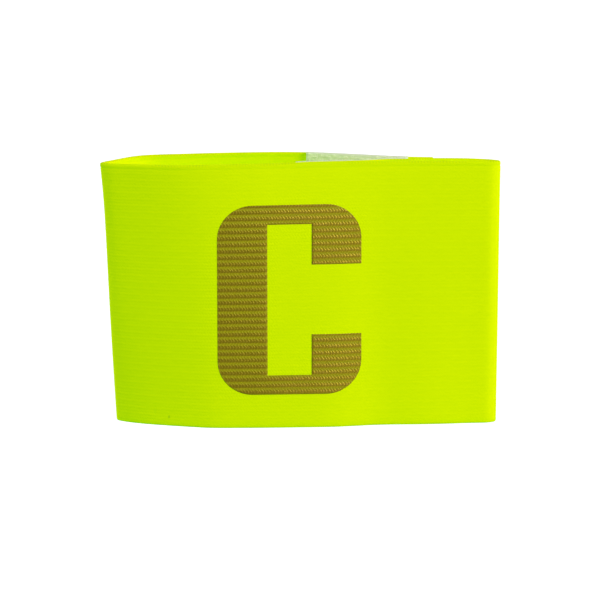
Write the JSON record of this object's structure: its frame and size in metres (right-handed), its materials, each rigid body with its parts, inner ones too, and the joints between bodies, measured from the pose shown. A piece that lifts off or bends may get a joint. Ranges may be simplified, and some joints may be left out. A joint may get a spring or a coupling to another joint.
{
  "type": "captain armband",
  "caption": "Wide ribbed elastic armband wound into a loop, with a block letter C on the front and a hook-and-loop fastening inside the back overlap.",
  "frame": {"origin": "middle of the band's box, on the plane of its lower edge", "axes": "+X across the front to the wearer's left as the letter is read, -Y out of the front with the letter, +Z from the lower edge to the upper edge"},
  "size_m": [0.1354, 0.0443, 0.09],
  "materials": {
    "elastic": "fluorescent yellow ribbed knitted elastic, slight sheen",
    "loop_pile": "off-white fuzzy loop pile",
    "hooks": "off-white woven hook tape",
    "print": "dark gold print with fine glitter, broken up by the ribs"
  },
  "bodies": {
    "root": {"elastic_band": "elastic", "loop_pad": "loop_pile", "hook_pad": "hooks", "captain_letter": "print"}
  },
  "joints": []
}
